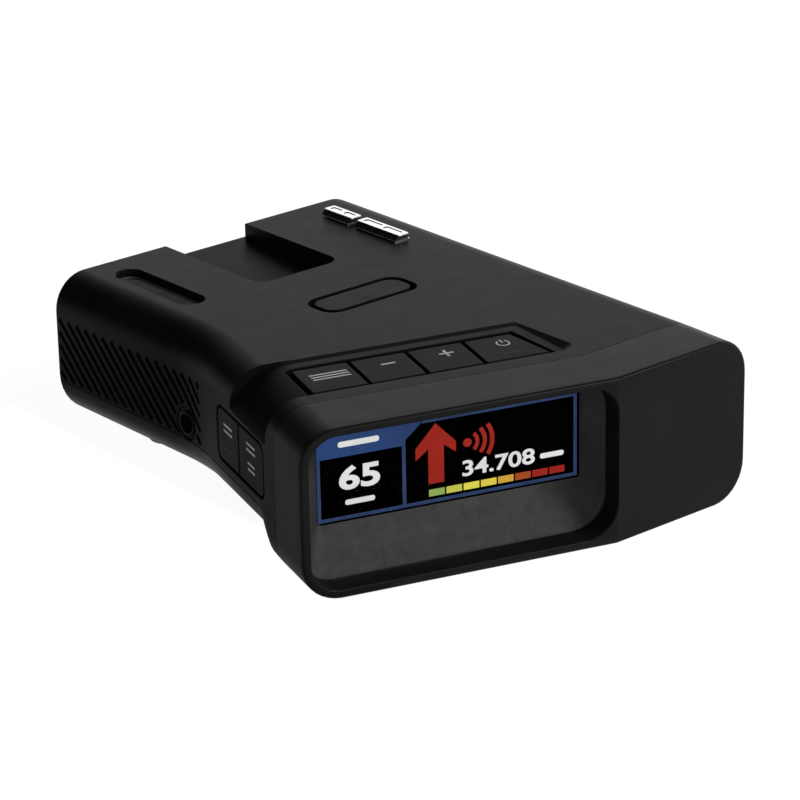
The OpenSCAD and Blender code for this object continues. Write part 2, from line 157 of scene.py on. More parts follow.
def build(name, verts, faces, place=WORLD):
    mesh = bpy.data.meshes.new(name)
    mesh.from_pydata([place @ Vector(v) for v in verts], [], faces)
    mesh.validate()
    work = bmesh.new()
    work.from_mesh(mesh)
    bmesh.ops.remove_doubles(work, verts=work.verts, dist=1e-5)
    bmesh.ops.recalc_face_normals(work, faces=work.faces)
    work.to_mesh(mesh)
    work.free()
    obj = bpy.data.objects.new(name, mesh)
    bpy.context.scene.collection.objects.link(obj)
    return obj


def loft(rings, place=WORLD, name="loft", cyclic=False):
    """Solid through rings of equal length; cyclic joins the last ring to the first."""
    n = len(rings[0])
    verts = [v for ring in rings for v in ring]
    faces = []
    for i in range(len(rings) if cyclic else len(rings) - 1):
        a, b = i * n, (i + 1) % len(rings) * n
        faces += [(a + k, a + (k + 1) % n, b + (k + 1) % n, b + k) for k in range(n)]
    if not cyclic:
        faces += [tuple(range(n))[::-1], tuple(range(len(verts) - n, len(verts)))]
    return build(name, verts, faces, place)


def stack(corners, radii, levels, place=WORLD, name="stack", steps=6):
    """Solid on a convex outline: levels are (height, inset) pairs."""
    radii = radii if hasattr(radii, "__len__") else [radii] * len(corners)
    rings = []
    for height, by in levels:
        ring = rounded(shrink(corners, by), [max(r - by, 0.03) for r in radii], steps)
        rings.append([(p.x, p.y, height) for p in ring])
    return loft(rings, place, name)


def crowned(low, high, edge, steps=4, start=0.0):
    """Levels of a plate whose upper edge is a quarter round."""
    levels = [(low, start)]
    for k in range(steps + 1):
        a = math.pi / 2 * k / steps
        levels.append((high - edge + edge * math.sin(a), start + edge * (1 - math.cos(a))))
    return levels


def cutter(corners, radii, surface, depth, chamfer, place=WORLD, above=3.0, steps=6):
    """Hole through a surface at local height "surface", with a small chamfer at its mouth."""
    levels = [(surface - depth, 0), (surface - chamfer, 0), (surface, -chamfer), (surface + above, -chamfer)]
    return stack(corners, radii, levels, place, steps=steps)


def lathe(profile, place=WORLD, name="lathe", steps=48):
    """Solid of revolution about local Z: profile is a closed list of (radius, height)."""
    rings = []
    for k in range(steps):
        a = 2 * math.pi * k / steps
        rings.append([(r * math.cos(a), r * math.sin(a), h) for r, h in profile])
    return loft(rings, place, name, cyclic=True)


def disc(radius, levels, place=WORLD, name="disc", steps=48):
    rings = []
    for height, by in levels:
        r = radius - by
        rings.append([(r * math.cos(2 * math.pi * k / steps), r * math.sin(2 * math.pi * k / steps), height)
                      for k in range(steps)])
    return loft(rings, place, name)


def settle(obj):
    """Applies an object's modifiers to its mesh."""
    evaluated = obj.evaluated_get(bpy.context.evaluated_depsgraph_get())
    mesh = bpy.data.meshes.new_from_object(evaluated)
    obj.modifiers.clear()
    old, obj.data = obj.data, mesh
    bpy.data.meshes.remove(old)
    return obj


def discard(obj):
    mesh = obj.data
    bpy.data.objects.remove(obj)
    bpy.data.meshes.remove(mesh)


def boolean(obj, tool, operation="DIFFERENCE"):
    step = obj.modifiers.new("boolean", "BOOLEAN")
    step.object, step.operation, step.solver = tool, operation, "EXACT"
    settle(obj)
    discard(tool)
    return obj


def merged(objs):
    """One object holding the meshes of several that don't overlap."""
    work = bmesh.new()
    for o in objs:
        work.from_mesh(o.data)
    mesh = bpy.data.meshes.new("merged")
    work.to_mesh(mesh)
    work.free()
    for o in objs:
        discard(o)
    obj = bpy.data.objects.new("merged", mesh)
    bpy.context.scene.collection.objects.link(obj)
    return obj


def copied(obj):
    twin = bpy.data.objects.new(obj.name + "_copy", obj.data.copy())
    bpy.context.scene.collection.objects.link(twin)
    return twin


def bevel(obj, width, angle=35, segments=2):
    step = obj.modifiers.new("bevel", "BEVEL")
    step.width, step.segments, step.limit_method = width, segments, "ANGLE"
    step.angle_limit = math.radians(angle)
    step.harden_normals = False
    return obj


def finish_piece(obj, name, body, look, stands_for=(), sharp=34):
    """Scales a piece to metres, shades it, gives it its material, ties it to its body, and hides the CAD nodes it
    stands for.
    """
    obj.name = name
    obj.data.name = name
    obj.data.transform(Matrix.Scale(MM, 4))
    obj.data.polygons.foreach_set("use_smooth", [True] * len(obj.data.polygons))
    obj.data.polygons.foreach_set("material_index", [0] * len(obj.data.polygons))
    obj.data.set_sharp_from_angle(angle=math.radians(sharp))
    obj.data.materials.clear()
    obj.data.materials.append(look)
    weighted = obj.modifiers.new("weighted", "WEIGHTED_NORMAL")
    weighted.keep_sharp = True
    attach(obj, body)
    if stands_for:
        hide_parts(*stands_for)
    return obj


# ---- materials ----


def noise(tree, coords, scale, detail=3.0, rough=0.55):
    n = tree.nodes.new("ShaderNodeTexNoise")
    n.inputs["Scale"].default_value = scale
    n.inputs["Detail"].default_value = detail
    n.inputs["Roughness"].default_value = rough
    tree.links.new(coords.outputs["Object"], n.inputs["Vector"])
    return n


def grey(value, warmth=0.0):
    return (value * (1 + warmth), value, value * (1 - warmth), 1.0)


def surface(name, low, high, mottle=70, rough=(0.34, 0.42), grain=2600, bump=0.2, depth=0.00003, wave=0.0, **sockets):
    """Procedural finish: mottled colour between low and high, uneven gloss, and a fine grain."""
    m = bpy.data.materials.new(name)
    m.use_nodes = True
    tree = m.node_tree
    shader = tree.nodes["Principled BSDF"]
    coords = tree.nodes.new("ShaderNodeTexCoord")
    ramp = tree.nodes.new("ShaderNodeValToRGB")
    for element, position, colour in zip(ramp.color_ramp.elements, (0.3, 0.7), (low, high)):
        element.position = position
        element.color = colour if hasattr(colour, "__len__") else grey(colour)
    tree.links.new(noise(tree, coords, mottle, 5).outputs["Fac"], ramp.inputs["Fac"])
    tree.links.new(ramp.outputs["Color"], shader.inputs["Base Color"])
    gloss = tree.nodes.new("ShaderNodeMapRange")
    gloss.inputs["From Min"].default_value, gloss.inputs["From Max"].default_value = 0.3, 0.7
    gloss.inputs["To Min"].default_value, gloss.inputs["To Max"].default_value = rough
    tree.links.new(noise(tree, coords, mottle * 3.1, 4).outputs["Fac"], gloss.inputs["Value"])
    tree.links.new(gloss.outputs["Result"], shader.inputs["Roughness"])
    relief = tree.nodes.new("ShaderNodeBump")
    relief.inputs["Strength"].default_value = bump
    relief.inputs["Distance"].default_value = depth
    tree.links.new(noise(tree, coords, grain, 2).outputs["Fac"], relief.inputs["Height"])
    if wave:
        broad = tree.nodes.new("ShaderNodeBump")
        broad.inputs["Strength"].default_value = wave
        broad.inputs["Distance"].default_value = depth * 4
        tree.links.new(noise(tree, coords, grain / 6, 2).outputs["Fac"], broad.inputs["Height"])
        tree.links.new(broad.outputs["Normal"], relief.inputs["Normal"])
    tree.links.new(relief.outputs["Normal"], shader.inputs["Normal"])
    for socket, value in sockets.items():
        shader.inputs[socket.replace("_", " ")].default_value = value
    return m


def lamp(name, low, high, mottle=160):
    """Lit pixels: an emission whose colour drifts a little, on a black base."""
    m = surface(name, 0.002, 0.004, Specular_IOR_Level=0.0)
    tree = m.node_tree
    shader = tree.nodes["Principled BSDF"]
    coords = tree.nodes.new("ShaderNodeTexCoord")
    ramp = tree.nodes.new("ShaderNodeValToRGB")
    for element, position, colour in zip(ramp.color_ramp.elements, (0.35, 0.65), (low, high)):
        element.position = position
        element.color = colour
    tree.links.new(noise(tree, coords, mottle, 2).outputs["Fac"], ramp.inputs["Fac"])
    tree.links.new(ramp.outputs["Color"], shader.inputs["Emission Color"])
    shader.inputs["Emission Strength"].default_value = 1.0
    return m


def tint(r, g, b):
    """Screen colour (0-255) as linear light."""
    return tuple((c / 255 / 12.92 if c <= 10 else ((c / 255 + 0.055) / 1.055) ** 2.4) for c in (r, g, b)) + (1.0,)


HOUSING = surface("housing_black", 0.0028, 0.0040, rough=(0.39, 0.43), bump=0.2, wave=0.03, Specular_IOR_Level=0.035)
BEZEL = surface("bezel_black", 0.0042, 0.0058, rough=(0.38, 0.42), bump=0.18, wave=0.03, Specular_IOR_Level=0.058)
HOOD = surface("hood_grain", 0.013, 0.022, mottle=220, rough=(0.55, 0.68), grain=1900, bump=0.6, depth=0.00006,
               Specular_IOR_Level=0.2)
KEYS = surface("key_black", 0.0024, 0.0036, rough=(0.37, 0.42), bump=0.18, Specular_IOR_Level=0.026)
RUBBER = surface("rubber", 0.010, 0.018, rough=(0.65, 0.8), bump=0.4, Specular_IOR_Level=0.2)
FEET_RUBBER = surface("feet_rubber", 0.006, 0.010, rough=(0.6, 0.75), bump=0.5, depth=0.00005,
                      Specular_IOR_Level=0.25)
INNER = surface("inner_plastic", 0.012, 0.018, rough=(0.4, 0.5), Specular_IOR_Level=0.3)
SOCKET = surface("socket_plastic", 0.002, 0.0035, rough=(0.32, 0.4), bump=0.12, Specular_IOR_Level=0.05)
GRILLE = surface("grille_black", 0.03, 0.055, mottle=400, rough=(0.35, 0.5), bump=0.1, Specular_IOR_Level=0.4)
LEGEND = surface("legend_print", 0.30, 0.42, mottle=300, rough=(0.45, 0.6), bump=0.2, Specular_IOR_Level=0.3)
BOARD = surface("board_green", (0.010, 0.055, 0.022, 1), (0.016, 0.085, 0.034, 1), mottle=240, rough=(0.25, 0.4),
                grain=900, bump=0.15)
FLEX = surface("flex_amber", (0.30, 0.13, 0.03, 1), (0.42, 0.19, 0.045, 1), mottle=300, rough=(0.25, 0.4), bump=0.1)
STEEL = surface("spring_steel", 0.46, 0.60, mottle=400, rough=(0.22, 0.36), grain=3200, bump=0.15, Metallic=1.0)
SHIELD = surface("shield_tin", 0.55, 0.68, mottle=150, rough=(0.25, 0.4), grain=1600, bump=0.2, Metallic=1.0)
HORN = surface("horn_cast", 0.36, 0.50, mottle=260, rough=(0.42, 0.6), grain=1500, bump=0.6, depth=0.00008,
               Metallic=1.0)
SCREW = surface("screw_steel", 0.10, 0.17, mottle=500, rough=(0.3, 0.45), grain=3000, bump=0.2, Metallic=1.0)
CHROME = surface("chrome", 0.66, 0.82, mottle=300, rough=(0.10, 0.22), grain=1500, bump=0.1, wave=0.9, Metallic=1.0)
CHROME_DARK = surface("chrome_inlay", 0.006, 0.012, mottle=500, rough=(0.2, 0.3), bump=0.1, Specular_IOR_Level=0.35)
LABEL = surface("label_foil", 0.16, 0.22, mottle=120, rough=(0.3, 0.45), grain=1800, bump=0.12)
CERAMIC = surface("antenna_ceramic", (0.55, 0.42, 0.26, 1), (0.68, 0.54, 0.36, 1), mottle=260, rough=(0.3, 0.5),
                  grain=1800, bump=0.2)
WINDOW = surface("laser_window", (0.020, 0.0010, 0.0014, 1), (0.034, 0.0018, 0.0022, 1), mottle=120,
                 rough=(0.10, 0.16), bump=0.04, Specular_IOR_Level=0.4)
SPEAKER = surface("speaker_frame", 0.020, 0.035, mottle=300, rough=(0.35, 0.5), bump=0.2, Specular_IOR_Level=0.4)
PANEL = surface("display_glass", 0.0003, 0.0006, rough=(0.3, 0.36), bump=0.03, Specular_IOR_Level=0.0)
LENS = surface("display_lens", 0.80, 0.86, rough=(0.02, 0.05), bump=0.02, depth=0.00001,
               Transmission_Weight=1.0, IOR=1.03)

LIT_BLUE = lamp("lit_header", tint(41, 58, 92), tint(47, 74, 127), 30)
LIT_FRAME = lamp("lit_frame", tint(44, 60, 92), tint(52, 72, 112))
LIT_RED = lamp("lit_red", tint(158, 40, 31), tint(166, 44, 35))
LIT_WHITE = lamp("lit_white", tint(232, 235, 234), tint(246, 247, 246))
LIT_BARS = [lamp("lit_bar_%d" % i, tint(*[max(c - 6, 0) for c in colour]), tint(*colour)) for i, colour in enumerate((
    (154, 180, 100), (206, 208, 84), (236, 226, 88), (236, 214, 84), (218, 172, 66), (176, 82, 44), (164, 46, 37),
    (161, 41, 34)))]

# ---- housing ----


def section(inset, low, high, top_r, low_r, steps=9):
    """Side of the housing from the deck down to the underside: (distance inwards, height)."""
    points = []
    for k in range(steps + 1):
        a = math.pi / 2 * k / steps
        points.append((inset + top_r * (1 - math.sin(a)), high - top_r * (1 - math.cos(a))))
    for k in range(steps + 1):
        a = math.pi / 2 * k / steps
        points.append((inset + low_r * (1 - math.cos(a)), low + low_r * (1 - math.sin(a))))
    return points


def ease(t):
    t = min(max(t, 0.0), 1.0)
    return t * t * (3 - 2 * t)


def lip(t, radius):
    """Inset of a rounded end, at distance t from it."""
    return radius - math.sqrt(max(radius ** 2 - (radius - min(t, radius)) ** 2, 0))


def housing_form(inset, name="form"):
    """The whole housing as one solid, shrunk by inset on every side."""
    lip_r = 0.7 if inset == 0 else 0.01
    end_r = 0.3 if inset == 0 else 0.01
    rings = []

    def ring(d, left, inwards, right_y, mid, extra):
        low = BODY_Z * ease((d - 16.0) / 5.6) if d is not None else BODY_Z
        low_r = HEAD_R + (BODY_R - HEAD_R) * low / BODY_Z
        high = DECK - (0.25 * (1 - ease(d / 14)) if d is not None else 0)
        profile = section(inset + extra, low + inset + extra, high - inset - extra, TOP_R - inset, low_r - inset)
        side = [left + inwards * o for o, _ in profile]
        points = [(p.x, p.y, z) for p, (_, z) in zip(side, profile)]
        points.append((mid.x, mid.y, profile[-1][1]))
        points += [(X_RIGHT - o, right_y, z) for o, z in profile[::-1]]
        points.append((mid.x, mid.y, profile[0][1]))
        rings.append(points)

    lips = [0, 0.05, 0.16, 0.35, lip_r] if inset == 0 else [0]
    depths = [inset + t for t in lips] + [3, 6, 8.5, 11, 14, 16.6, 17.4, 18.2, 19.0, 19.8, 20.6, 21.8]
    for d in depths:
        left = CORNER + EW * d
        y = Y_FRONT + d - 0.2 * min(1, (d - inset) / 10)
        u = ((left.y - y) / SIN)
        ring(d, left, EU, y, left + EU * u, lip(d - inset, lip_r))
    centre = Vector((X_LEFT - BLEND_R, BLEND_Y, 0))
    for k in range(9):
        a = -TURN * (1 - k / 8)
        left = centre + Vector((math.cos(a), math.sin(a), 0)) * BLEND_R
        inwards = Vector((math.cos(a), math.sin(a), 0))
        ring(None, left, inwards, left.y - 6 * (1 - k / 8), Vector((CREASE_X, left.y - 3 * (1 - k / 8), 0)), 0)
    ends = [end_r, 0.19, 0.09, 0.03, 0] if inset == 0 else [0]
    for t in ends:
        y = Y_REAR - inset - t
        ring(None, Vector((X_LEFT, y, 0)), EX, y, Vector((CREASE_X, y, 0)), lip(t, end_r))

    n = len(rings[0])
    half = n // 2
    verts = [v for r in rings for v in r]
    faces = []
    for i in range(len(rings) - 1):
        a, b = i * n, (i + 1) * n
        faces += [(a + k, a + (k + 1) % n, b + (k + 1) % n, b + k) for k in range(n)]
    # the front end is two planes that meet at the crease, the rear end is one
    faces.append(tuple([n - 1] + list(range(half))))
    faces.append(tuple(range(half - 1, n)))
    faces.append(tuple(range(len(verts) - n, len(verts)))[::-1])
    return build(name, verts, faces)


def slab(x0, x1, y0, y1, z0, z1):
    return loft([[(x0, y0, z), (x1, y0, z), (x1, y1, z), (x0, y1, z)] for z in (z0, z1)])


def front_region(gap):
    """Everything in front of the seam between the covers and the bezel."""
    left = CORNER + EW * (BEZEL_D + gap) - EU * 30
    y = PANEL_SEAM_Y + gap
    meet = CORNER + EW * (BEZEL_D + gap)
    meet = meet + EU * ((meet.y - y) / SIN)
    plan = [(left.x, left.y), (left.x - 40, -120), (90, -120), (90, y), (meet.x, meet.y)]
    return loft([[(x, yy, z) for x, yy in plan] for z in (-6, 40)])


def valley_cutter():
    """Shallow scoop across the head: flat floor, falling along a round at its left end."""
    r, ledge = 14.0, 7.4
    reach = math.sqrt(r ** 2 - (r - ledge) ** 2)
    outline = [(-6, -ledge), (0, -ledge)]
    start = math.atan2(r - ledge, -reach)
    for k in range(1, 19):
        a = start + (math.pi / 2 - start) * k / 18
        outline.append((reach + r * math.cos(a), -r + r * math.sin(a)))
    outline += [(75, 0), (75, 5), (-6, 5)]
    # behind the keys the floor rises to the deck along a narrow slope
    steps = ((-16.2, 0), (0.2, 0), (1.6, FLOOR_DROP))
    scoop = loft([[(u, y, z + rise) for u, z in outline] for y, rise in steps], VALLEY)
    rings = []
    for height, x in ((-12, 16.4), (-1, 16.4), (0, 18.6), (6, 18.6)):
        front = CORNER + EW * 16.3
        front = front + EU * ((x - front.x) / COS)
        far = front - EU * 110
        plan = rounded([(far.x, far.y), (front.x, front.y), (x, 30), (far.x, 30)], [0.1, 2.6, 0.1, 0.1], 6)
        rings.append([(q.x, q.y, DECK + height) for q in plan])
    return boolean(scoop, loft(rings), "INTERSECT")


def pocket_cutter(extra):
    corners = rect(POCKET[0] - extra, POCKET[1] + extra, -extra, POCKET[2] + 6)
    levels = [(-extra, 0), (12, 0)]
    return stack(corners, [3 + extra, 3 + extra, 0.1, 0.1], levels, POCKET_FRAME, steps=10)


def wall_x(y):
    """Left wall's X at Y, along the straight wall and its blend."""
    if y >= BLEND_Y:
        return X_LEFT
    return X_LEFT - BLEND_R + math.sqrt(BLEND_R ** 2 - (BLEND_Y - y) ** 2)


def groove_cutters():
    """Slanting louvres in the left wall, stopping "clear" short of the jack's middle."""
    low, high, front, rear = 12.0, 24.6, 9.6, 56.7
    pitch, width, depth, clear, first = 2.85, 1.25, 0.9, 3.7, -1.85
    tools = []
    for i in range(22):
        start = first + i * pitch
        steps = 42
        path = []
        for k in range(steps + 1):
            t = (high - low) * k / steps
            y, z = start + t, low + t
            inside = front <= y <= rear and math.hypot(y - JACK[0], z - JACK[1]) > clear
            if inside:
                path.append((y, z))
            if (not inside or k == steps) and path:
                if len(path) > 3:
                    tools.append(louvre(path, width, depth))
                path = []
    return tools


def louvre(path, width, depth):
    rings = []
    path = [path[0], *path[4:-4:4], path[-1]] if len(path) > 8 else [path[0], path[-1]]
    for y, z in path:
        x = wall_x(y)
        cross = [(-1.0, -width / 2), (-1.0, width / 2), (depth, width * 0.36), (depth, -width * 0.36)]
        rings.append([(x + o, y - s * 0.7071, z + s * 0.7071) for o, s in cross])
    return loft(rings)


form = housing_form(0)
hollow = housing_form(WALL)

# top cover
top = copied(form)
boolean(top, front_region(0.1))
boolean(top, slab(-90, 90, -90, 90, -9, SEAM_HIGH))
boolean(top, pocket_cutter(0))
settle(bevel(top, 0.22, 38))
boolean(top, valley_cutter())
inner = copied(hollow)
boolean(inner, pocket_cutter(WALL))
# a thicker roof under the scoop
under = [(-8, -9.7), (3.5, -9.7), (8.3, -4.6), (15, -2.2), (70, -2.2), (70, 9), (-8, 9)]
boolean(inner, loft([[(u, y, z) for u, z in under] for y in (-18.3, 3.6)], VALLEY))
boolean(inner, merged([disc(3.2, [(11.1, 0), (40, 0)], Matrix.Translation((x, y, 0))) for x, y in SCREWS]))
boolean(top, inner)
key_well = [(9.5, -15.0), (58.6, -15.0), (55.2, -1.9), (9.5, -1.9)]
side_hole = rect(17.8, 41.4, 13.2, 24.3)
boolean(top, cutter(key_well, 0.35, 0, 9, 0.16, VALLEY))
boolean(top, merged([
    cutter(around(RELEASE, RELEASE_HOLE), RELEASE_R, DECK, 5, 0.1),
    cutter(rect(SLOT[0] - SLOT[3] / 2, SLOT[0] + SLOT[3] / 2, SLOT[1], SLOT[2]), 2.7, DECK, 5, 0.3),
    cutter(rect(3.3, 11.3, 29.2, 32.8), 0.4, DECK - 3, 6, 0.0),
    stack(side_hole, 2, [(-3, -0.15), (0, -0.15), (0.15, 0), (6, 0)], FLARE),
    stack(rect(POWER[0] - 5.7, POWER[0] + 5.7, POWER[1] - 5.4, POWER[1] + 4.4), 0.8,
          [(X_RIGHT - 4, 0), (X_RIGHT - 0.2, 0), (X_RIGHT, -0.2), (X_RIGHT + 3, -0.2)], SIDE),
    stack(rect(USB[0] - 4.8, USB[0] + 4.8, USB[1] - 1.65, USB[1] + 2), 1.4,
          [(X_RIGHT - 4, 0), (X_RIGHT - 0.2, 0), (X_RIGHT, -0.2), (X_RIGHT + 3, -0.2)], SIDE),
    stack(rect(-42.1, -21.9, 12.9, 24.1), 0.9,
          [(Y_REAR - 4, 0), (Y_REAR - 0.25, 0), (Y_REAR, -0.25), (Y_REAR + 3, -0.25)], REAR),
    disc(3.3, [(X_LEFT - 4, -0.15), (X_LEFT - 0.27, -0.15), (X_LEFT - 0.12, 0), (X_LEFT + 5, 0)],
         SIDE @ Matrix.Translation((JACK[0], JACK[1], 0))),
]))
boolean(top, merged(groove_cutters()))
# the scoop's slopes are shallow, so a low angle keeps their edges crisp
finish_piece(top, "top_cover_shell", "root", HOUSING, ["top_cover"], sharp=11.5)

# bottom cover
bottom = copied(form)
boolean(bottom, front_region(0.1))
boolean(bottom, slab(-90, 90, -90, 90, SEAM_LOW, 50))
settle(bevel(bottom, 0.22, 38))
inner = copied(hollow)
boolean(inner, merged([disc(4.0, [(-2, 0), (9.3, 0)], Matrix.Translation((x, y, 0))) for x, y in SCREWS]))
boolean(bottom, inner)
holes = [disc(2.9, [(-1, -0.2), (BODY_Z, -0.2), (BODY_Z + 0.2, 0), (6.2, 0)], Matrix.Translation((x, y, 0)))
         for x, y in SCREWS]
holes += [disc(2.0, [(-1, 0), (9, 0)], Matrix.Translation((x, y, 0))) for x, y in FEET]
holes.append(slab(X_RIGHT - 4, X_RIGHT + 2, POWER[0] - 5.7, POWER[0] + 5.7, POWER[1] - 5.2, 30))
boolean(bottom, merged(holes))
boolean(bottom, merged([disc(1.6, [(5, 0), (12, 0)], Matrix.Translation((x, y, 0))) for x, y in SCREWS]))
finish_piece(bottom, "bottom_cover_shell", "root", HOUSING, ["bottom_cover"])

# front bezel
bezel = form
boolean(bezel, front_region(0), "INTERSECT")
settle(bevel(bezel, 0.2, 38))
mouth = rect(*MOUTH)
mouth_radii = [MOUTH_R, MOUTH_R + 1, MOUTH_R, MOUTH_R]
lip_levels = [(-11, 0), (-0.4, 0), (-0.16, -0.08), (-0.04, -0.22), (0, -0.36), (4, -0.36)]
boolean(bezel, stack(mouth, mouth_radii, lip_levels, FACE, steps=10))
boolean(bezel, stack(rect(1.8, 61.6, 1.8, 31.2), MOUTH_R, [(-30, 0), (-9.8, 0)], FACE, steps=8))
# hollow of the flat panel's side
chamber = stack(rect(CREASE_X + 5, X_RIGHT - 2, 2, DECK - 2.5), [1, 5.5, 5, 1],
                [(-Y_FRONT - 30, 0), (-Y_FRONT - 2, 0)],
                axes(Vector((0, 0, 0)), EX, EZ, -EY))
boolean(bezel, chamber)
finish_piece(bezel, "front_bezel_shell", "root", BEZEL, ["front_bezel"])
discard(hollow)

# ---- display hood: a funnel from the mouth down to the window ----


def hood_ring(u0, u1, z0, z1, radii, w):
    return [(p.x, p.y, -w) for p in rounded(rect(u0, u1, z0, z1), radii, 10)]


outer = (MOUTH[0] + 0.08, MOUTH[1] - 0.08, MOUTH[2] + 0.08, MOUTH[3] - 0.08)
outer_r = [5.5, 6.5, 5.5, 5.5]
near, far = (2.1, 61.9, 2.0, 30.9), (6.9, 59.2, 10.3, 27.4)
near_r, far_r = [5.3, 7.2, 5.2, 5.2], [0.9, 0.5, 0.5, 0.9]
rings = [hood_ring(*outer, outer_r, 9.8), hood_ring(*outer, outer_r, 5.1)]
for t, w in ((-0.02, 5.0), (0.0, 5.04), (0.03, 5.16)):
    rings.append(hood_ring(*[a + (b - a) * t for a, b in zip(near, far)], near_r, w))
for k in range(1, 9):
    t = k / 8
    sizes = [a + (b - a) * t for a, b in zip(near, far)]
    radii = [a + (b - a) * t for a, b in zip(near_r, far_r)]
    rings.append(hood_ring(*sizes, radii, 5.1 + (9.8 - 5.1) * t))
finish_piece(loft(rings, FACE, cyclic=True), "display_hood_funnel", "root", HOOD, ["display_hood"], sharp=40)

# ---- screen picture, between the lens and the module ----
SCREEN = 10.46


def plate(outline, thick=0.06, depth=SCREEN):
    """Flat piece of the screen's picture, standing behind the window."""
    verts = [(u, z, h) for h in (-depth, -depth - thick) for u, z in outline]
    n = len(outline)
    faces = [tuple(range(n)), tuple(range(n, 2 * n))[::-1]]
    faces += [(k, (k + 1) % n, n + (k + 1) % n, n + k) for k in range(n)]
    return build("plate", verts, faces, FACE)


def stroke(points, width, closed=False):
    """Even band along a line of points."""
    pts = [Vector(p) for p in points]
    left, right = [], []
    n = len(pts)
    for i, p in enumerate(pts):
        a = pts[i - 1] if i or closed else p
        b = pts[(i + 1) % n] if i < n - 1 or closed else p
        d0 = (p - a).normalized() if (p - a).length > 0 else (b - p).normalized()
        d1 = (b - p).normalized() if (b - p).length > 0 else d0
        side = Vector((-d0.y - d1.y, d0.x + d1.x)).normalized()
        miter = width / 2 / max(side.dot(Vector((-d0.y, d0.x))), 0.4)
        left.append(p + side * miter)
        right.append(p - side * miter)
    return left + right[::-1]


def pill(u, z, half_u, half_z):
    return [(p.x, p.y) for p in rounded(rect(u - half_u, u + half_u, z - half_z, z + half_z), half_z * 0.8, 4)]


PICTURE = (7.3, 59.0, 10.4, 27.0)
LINE, DIVIDER, HEADER_LOW, HEADER_END = 0.65, (23.95, 24.65), 22.6, 27.9
left, right, low, high = PICTURE
border = [
    plate(rect(left, left + LINE, low, HEADER_LOW)),
    plate(rect(left + LINE, right, low, low + LINE)),
    plate(rect(right - LINE, right, low + LINE, high)),
    plate(rect(HEADER_END, right - LINE, high - 0.75, high)),
    plate(rect(*DIVIDER, low + LINE, HEADER_LOW)),
]
finish_piece(merged(border), "screen_border", "root", LIT_FRAME)
header = [(left, HEADER_LOW), (DIVIDER[1], HEADER_LOW), (DIVIDER[1], 23.6), (27.6, 26.2), (HEADER_END, high),
          (left, high)]
finish_piece(plate(header), "screen_header", "root", LIT_BLUE)
arrow = [(30.6, 25.8), (26.6, 21.4), (26.6, 19.1), (29.1, 21.0), (29.1, 14.1), (32.2, 14.1), (32.2, 21.4),
         (34.6, 19.6), (34.6, 21.7)]
finish_piece(plate(arrow), "screen_arrow", "root", LIT_RED)
for i, look in enumerate(LIT_BARS):
    u = 29.16 + i * 3.457
    finish_piece(plate(rect(u, u + 3.12, 11.65, 12.98)), "screen_level_%d" % (i + 1), "root",
                 look)


def arc(u, z, radius, a0, a1, steps=14):
    return [(u + radius * math.cos(math.radians(a0 + (a1 - a0) * k / steps)),
             z + radius * math.sin(math.radians(a0 + (a1 - a0) * k / steps))) for k in range(steps + 1)]


# radar waves in place of lettering: a spot with three arcs
waves = [plate(outline) for outline in (
    arc(36.9, 20.9, 0.85, 0, 337.5, 15),
    stroke(arc(36.9, 20.9, 2.0, -50, 50), 0.75),
    stroke(arc(36.9, 20.9, 3.5, -42, 42), 0.8),
    stroke(arc(36.9, 20.9, 5.0, -36, 36), 0.85))]
finish_piece(merged(waves), "screen_wave_mark", "root", LIT_RED)
marks = [plate(pill(15.5, 25.0, 4.0, 0.55), 0.03, SCREEN - 0.035),
         plate(pill(15.6, 13.6, 2.9, 0.5)),
         plate(pill(53.9, 15.5, 2.4, 0.5))]
finish_piece(merged(marks), "screen_caption_marks", "root", LIT_WHITE)


def number(body, u0, u1, z0, z1, name, weight):
    """Digits fitted to a box on the screen."""
    curve = bpy.data.curves.new(name, "FONT")
    curve.body, curve.offset, curve.resolution_u = body, weight, 4
    obj = bpy.data.objects.new(name, curve)
    bpy.context.scene.collection.objects.link(obj)
    mesh = bpy.data.meshes.new_from_object(obj.evaluated_get(bpy.context.evaluated_depsgraph_get()))
    bpy.data.objects.remove(obj)
    bpy.data.curves.remove(curve)
    xs = [v.co.x for v in mesh.vertices]
    ys = [v.co.y for v in mesh.vertices]
    for v in mesh.vertices:
        v.co = (u0 + (v.co.x - min(xs)) / (max(xs) - min(xs)) * (u1 - u0),
                z0 + (v.co.y - min(ys)) / (max(ys) - min(ys)) * (z1 - z0), -SCREEN)
    work = bmesh.new()
    work.from_mesh(mesh)
    bmesh.ops.remove_doubles(work, verts=work.verts, dist=1e-4)
    bmesh.ops.dissolve_limit(work, angle_limit=0.01, verts=work.verts, edges=work.edges)
    grown = bmesh.ops.extrude_face_region(work, geom=work.faces[:])
    moved = [g for g in grown["geom"] if isinstance(g, bmesh.types.BMVert)]
    bmesh.ops.translate(work, verts=moved, vec=(0, 0, -0.06))
    bmesh.ops.recalc_face_normals(work, faces=work.faces)
    work.to_mesh(mesh)
    work.free()
    mesh.transform(FACE)
    piece = bpy.data.objects.new(name, mesh)
    bpy.context.scene.collection.objects.link(piece)
    return finish_piece(piece, name, "root", LIT_WHITE)


number("65", 11.57, 19.6, 16.0, 20.7, "screen_number_left", 0.03)
number("34.708", 35.85, 50.45, 14.3, 17.45, "screen_number_right", 0.02)

# ---- deck keys ----
KEY_EDGES = [10, 21.5, 33, 44.5]
KEY_MARKS = [(16.2, -7.6), (28.0, -6.9), (39.7, -6.8), (51.3, -6.7)]
KEY_NAMES = [("menu", "menu_button", "menu_key"), ("volume_down", "volume_down_button", "volume_down_key"),
             ("volume_up", "volume_up_button", "volume_up_key"), ("power", "power_button", "power_key")]
KEY_TOP, KEY_FOOT = 0.1, -2.8


